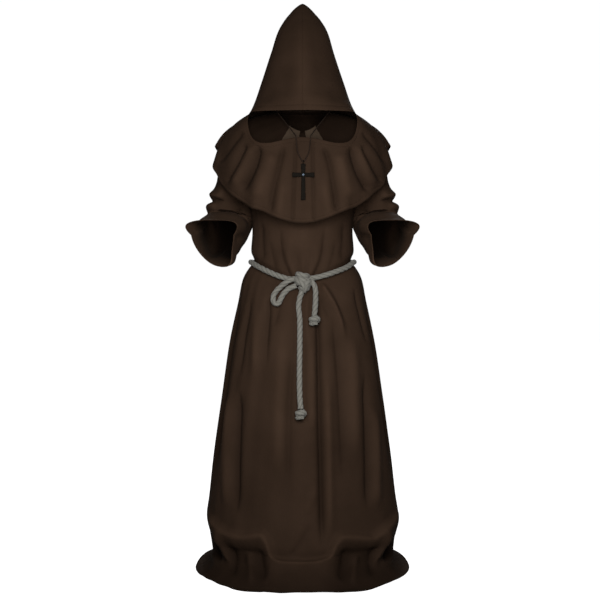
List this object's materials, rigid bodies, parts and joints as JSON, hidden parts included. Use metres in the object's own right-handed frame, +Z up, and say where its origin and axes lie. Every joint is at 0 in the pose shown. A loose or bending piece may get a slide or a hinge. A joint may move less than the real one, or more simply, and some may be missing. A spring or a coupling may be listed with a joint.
{
  "type": "monk costume",
  "caption": "Long hooded robe with bell sleeves, shoulder cape and turned-down collar, worn with a knotted rope belt and a cross on a neck cord.",
  "frame": {"origin": "between the shoulders of the wearer, on the mid plane, 1500 mm above the floor that the hem lies on", "axes": "+Z up, -Y toward the front, where the cross hangs, +X toward the wearer's left"},
  "size_m": [0.757, 0.82, 1.948],
  "materials": {
    "cloth": "matte dark brown woven polyester with a faint sheen",
    "rope": "matte grey twisted rope",
    "cord": "thin dark cord",
    "pendant": "dark satin"
  },
  "bodies": {
    "root": {"robe_front": "cloth", "robe_back": "cloth", "sleeve_left": "cloth", "sleeve_right": "cloth", "cape_front": "cloth", "cape_back": "cloth", "hood_left": "cloth", "hood_right": "cloth", "collar_left": "cloth", "collar_right": "cloth", "belt_wrap": "rope", "belt_knot": "rope", "belt_loop": "rope", "belt_tail_long": "rope", "belt_tail_short": "rope", "end_knot_long": "rope", "end_knot_short": "rope", "cross": "pendant", "cross_stud": "pendant", "cross_ring": "pendant", "neck_cord": "cord"}
  },
  "joints": []
}
